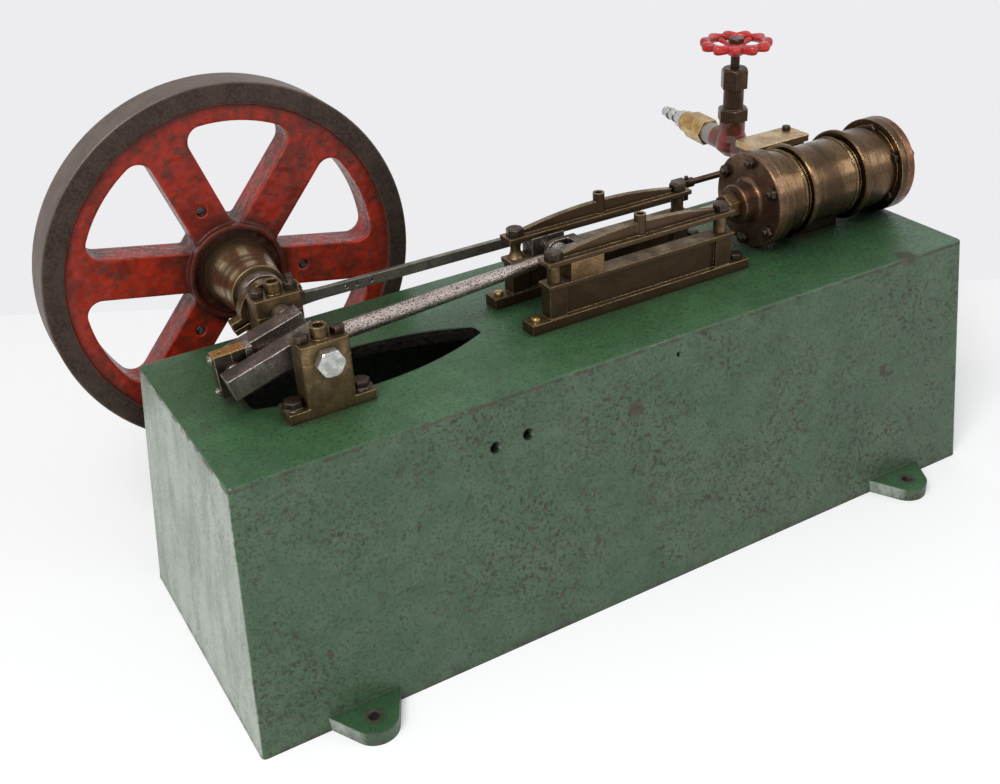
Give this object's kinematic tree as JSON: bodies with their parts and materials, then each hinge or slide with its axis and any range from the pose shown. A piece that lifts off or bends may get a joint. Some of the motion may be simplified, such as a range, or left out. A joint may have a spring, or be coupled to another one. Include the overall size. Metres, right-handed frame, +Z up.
{
  "type": "model horizontal steam engine",
  "caption": "Small horizontal steam engine on a tall hollow cast bed, with a spoked flywheel beside the crank, open crosshead guides, slide valve gear and a stop valve.",
  "frame": {"origin": "centre of the rectangle of four holding-down holes in the bed's lugs, on the floor", "axes": "+X along the bed from the crank to the cylinder, +Y towards the flywheel, +Z up"},
  "size_m": [0.5485, 0.3034, 0.304],
  "materials": {
    "green_paint_casting": "gloss, chipped",
    "brown_steel": "rusty, oily",
    "dark_steel": "worn, pitted",
    "bright_steel": "polished, stained",
    "zinc_steel": "zinc plated",
    "aged_bronze": "aged, dull",
    "golden_brass": "satin",
    "wheel_iron": "machined rim, painted web",
    "red_paint": "worn gloss"
  },
  "bodies": {
    "engine": {"bed": "green_paint_casting", "front_bearing_block": "brown_steel", "front_bearing_cap": "brown_steel", "rear_bearing_block": "brown_steel", "rear_bearing_cap": "brown_steel", "crank_web_front": "dark_steel", "crank_web_rear": "dark_steel", "crank_pin": "bright_steel", "front_journal": "bright_steel", "shaft_end_bolt": "zinc_steel", "big_end_brass_inner": "aged_bronze", "big_end_brass_outer": "aged_bronze", "connecting_rod": "bright_steel", "crosshead": "dark_steel", "crosshead_pin": "bright_steel", "slipper_front": "aged_bronze", "slipper_rear": "aged_bronze", "piston_rod": "bright_steel", "guide_frame_front": "brown_steel", "guide_frame_rear": "brown_steel", "guide_posts_front": "bright_steel", "guide_posts_rear": "bright_steel", "upper_bar_front": "brown_steel", "upper_bar_rear": "brown_steel", "cylinder_barrel": "aged_bronze", "front_cylinder_cover": "brown_steel", "rear_cylinder_cover": "aged_bronze", "gland_nut": "aged_bronze", "steam_chest": "brown_steel", "chest_lid": "brown_steel", "valve_rod": "bright_steel", "valve_rod_knuckle": "brown_steel", "eccentric_sheave": "dark_steel", "eccentric_strap": "aged_bronze", "eccentric_rod": "brown_steel", "stop_valve_body": "red_paint", "valve_bonnet": "brown_steel", "packing_nut": "brown_steel", "inlet_bush": "golden_brass", "hose_tail": "zinc_steel"},
    "flywheel": {"main_shaft": "bright_steel", "flywheel": "wheel_iron", "flywheel_boss": "aged_bronze"},
    "spindle": {"valve_spindle": "bright_steel"},
    "handwheel": {"handwheel": "red_paint", "handwheel_nut": "dark_steel"}
  },
  "joints": [
    {"name": "flywheel_spin", "type": "hinge", "parent": "engine", "child": "flywheel", "pos_m": [-0.1735, 0.125, 0.19], "axis": [0, 1, 0], "continuous": true},
    {"name": "spindle_rise", "type": "slide", "parent": "engine", "child": "spindle", "axis": [0, 0, 1], "range_m": [0, 0.005]},
    {"name": "handwheel_turn", "type": "hinge", "parent": "spindle", "child": "handwheel", "pos_m": [0.20225, 0.0935, 0.263], "axis": [0, 0, 1], "range_deg": [0, 900]}
  ],
  "couplings": [
    {"joint": "spindle_rise", "follows": "handwheel_turn", "m_per_rad": 0.00031831}
  ]
}
